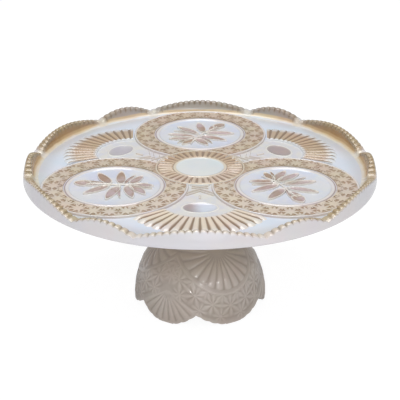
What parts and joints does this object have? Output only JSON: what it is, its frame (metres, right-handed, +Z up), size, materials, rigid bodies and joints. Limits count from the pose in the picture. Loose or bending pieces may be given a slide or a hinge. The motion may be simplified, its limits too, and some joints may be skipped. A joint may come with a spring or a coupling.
{
  "type": "footed cake stand",
  "caption": "Glazed earthenware cake stand: a round plate with a scalloped, beaded rim and pressed fan and medallion relief, on a hollow stem and a scalloped foot.",
  "frame": {"origin": "on the table under the middle of the foot", "axes": "+Z up along the stand's axis, -Y towards the front, +X to the right seen from the front"},
  "size_m": [0.284, 0.284, 0.1271],
  "materials": {
    "plate_glaze": "glossy",
    "foot_glaze": "glossy",
    "slip": "satin"
  },
  "bodies": {
    "root": {"plate": "plate_glaze", "slip_ring": "slip", "stem": "foot_glaze", "foot": "foot_glaze"}
  },
  "joints": []
}
